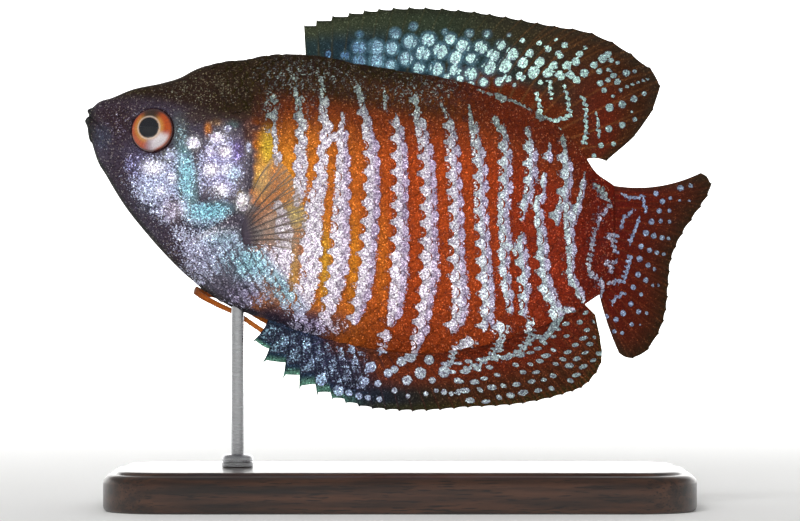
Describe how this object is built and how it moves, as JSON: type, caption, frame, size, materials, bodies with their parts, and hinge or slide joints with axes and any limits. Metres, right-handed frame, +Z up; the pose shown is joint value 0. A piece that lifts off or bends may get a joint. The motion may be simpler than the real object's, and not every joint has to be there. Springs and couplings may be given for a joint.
{
  "type": "dwarf gourami display model",
  "caption": "Life-size still model of a male dwarf gourami, a deep-bodied striped aquarium fish with spread fins, on a flat base and a slim rod.",
  "frame": {"origin": "middle of the underside of the stand's base, under the middle of the whole model", "axes": "+X runs from the fish's snout towards its tail, +Y points out of the fish's right side, +Z up"},
  "size_m": [0.0796, 0.036, 0.0634],
  "materials": {
    "head_skin": "semi-gloss, painted scales and glitter",
    "flank_skin": "semi-gloss, painted scales",
    "fin": "semi-gloss, thin membrane with raised rays",
    "clear_fin": "clear thin membrane",
    "eye": "high gloss",
    "thread": "satin",
    "stand_wood": "dark stained, satin",
    "stand_steel": "satin"
  },
  "bodies": {
    "root": {"upper_jaw": "head_skin", "lower_jaw": "head_skin", "head": "head_skin", "gill_cover_l": "head_skin", "gill_cover_r": "head_skin", "eye_l": "eye", "eye_r": "eye", "trunk": "flank_skin", "tail_stalk": "flank_skin", "dorsal_fin": "fin", "anal_fin": "fin", "caudal_fin": "fin", "pectoral_fin_l": "clear_fin", "pectoral_fin_r": "clear_fin", "pelvic_thread_l": "thread", "pelvic_thread_r": "thread", "stand_base": "stand_wood", "stand_rod": "stand_steel"}
  },
  "joints": []
}
